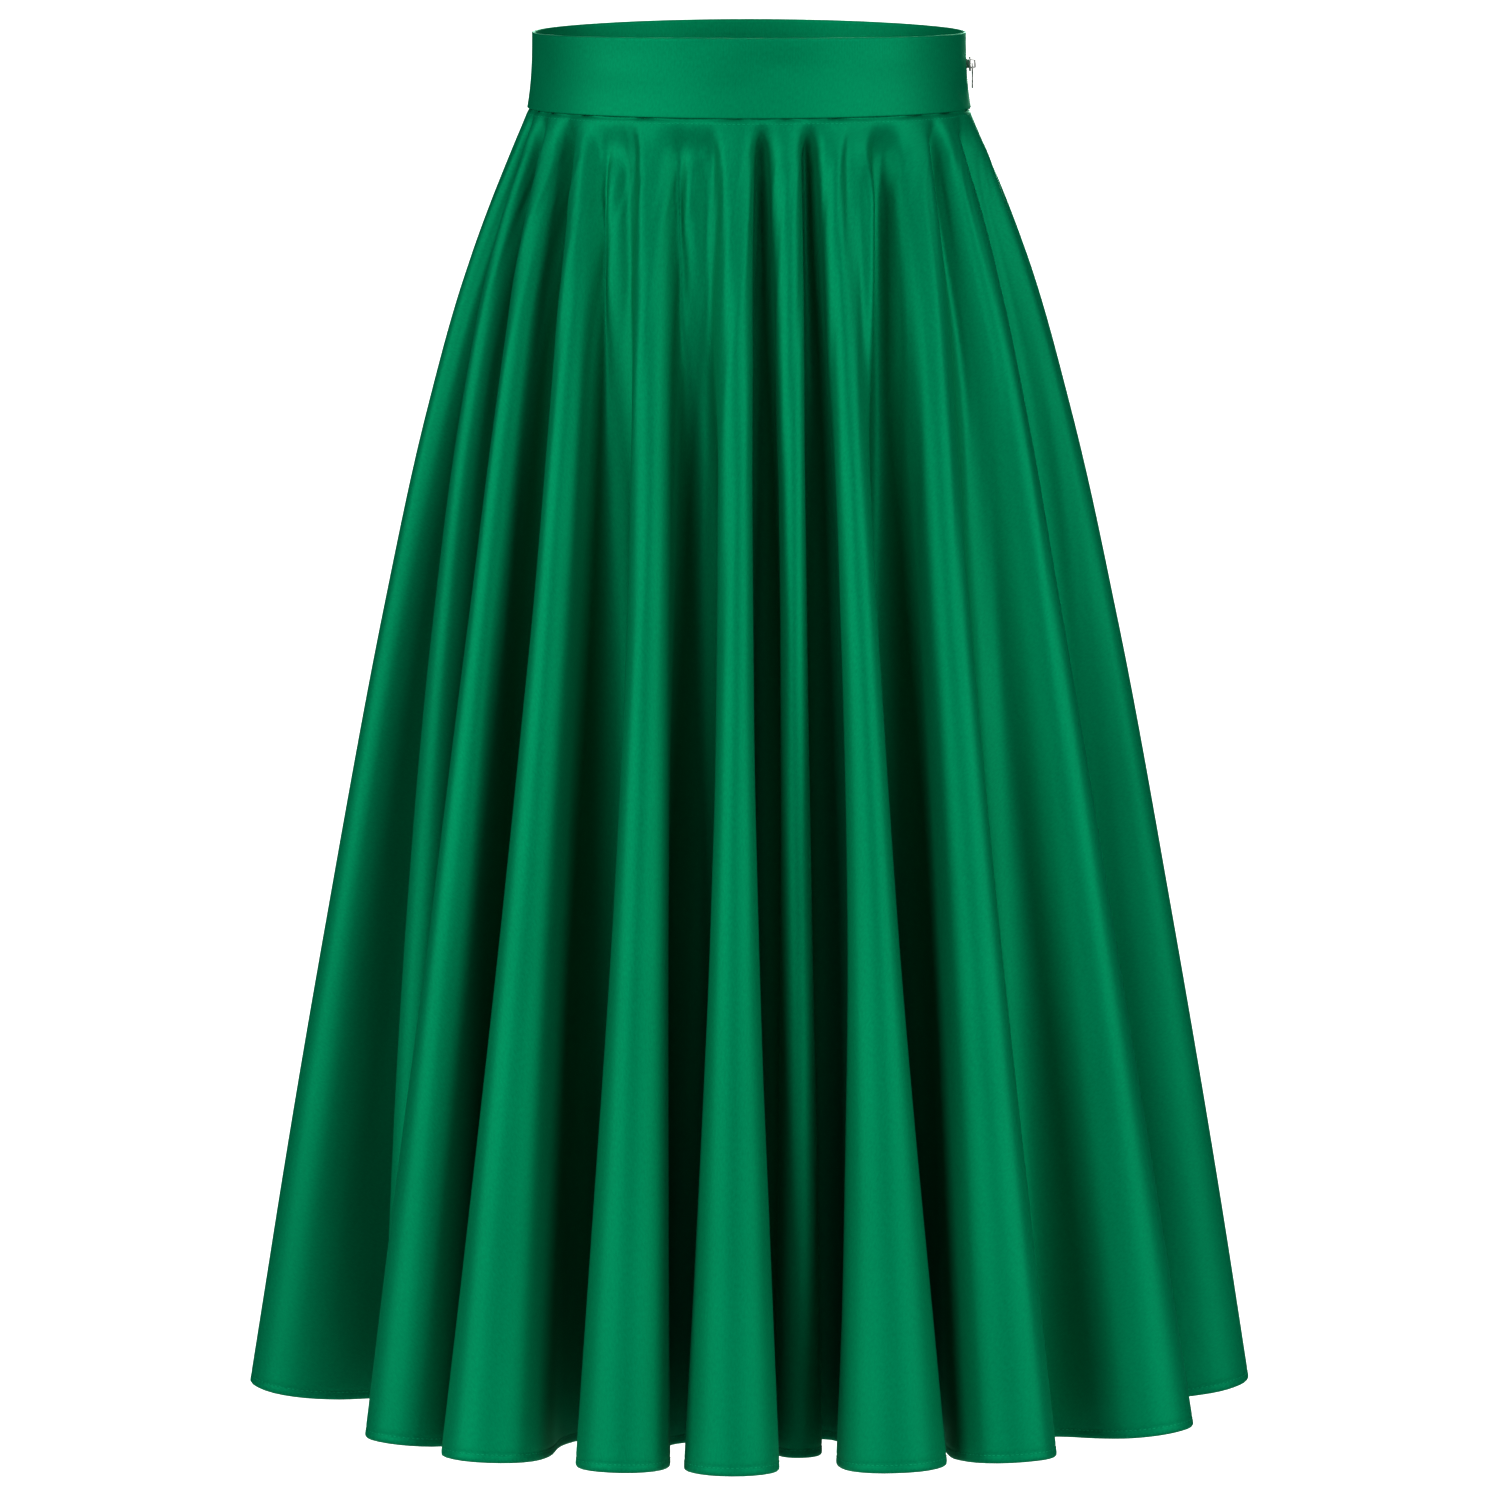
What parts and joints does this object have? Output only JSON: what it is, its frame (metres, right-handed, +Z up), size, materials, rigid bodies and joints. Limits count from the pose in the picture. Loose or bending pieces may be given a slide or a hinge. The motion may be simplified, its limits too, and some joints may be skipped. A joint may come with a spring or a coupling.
{
  "type": "flared midi skirt",
  "caption": "Flared midi skirt in plain green sateen, hanging in deep soft folds from a wide shaped waistband, with a side zip. Hollow, as worn.",
  "frame": {"origin": "centre of the waistband at its mid height, where the wearer's waist is", "axes": "+Z up; the front of the skirt faces -Y; +X is the viewer's right and the side with the zip"},
  "size_m": [0.5881, 0.475, 0.8044],
  "materials": {
    "cloth": "cotton sateen with a soft sheen, emerald green",
    "zip_tape": "matt woven tape, dark green",
    "zip_metal": "satin nickel"
  },
  "bodies": {
    "skirt": {"waistband_front": "cloth", "waistband_back": "cloth", "skirt_front": "cloth", "skirt_back": "cloth", "zip_tape_front": "zip_tape", "zip_tape_back": "zip_tape", "zip_slider": "zip_metal"},
    "pull_tab": {"zip_pull_tab": "zip_metal"}
  },
  "joints": [
    {"name": "tab_swing", "type": "hinge", "parent": "skirt", "child": "pull_tab", "pos_m": [0.12886, 0, 0.00335], "axis": [0, -1, 0], "range_deg": [0, 150]}
  ]
}
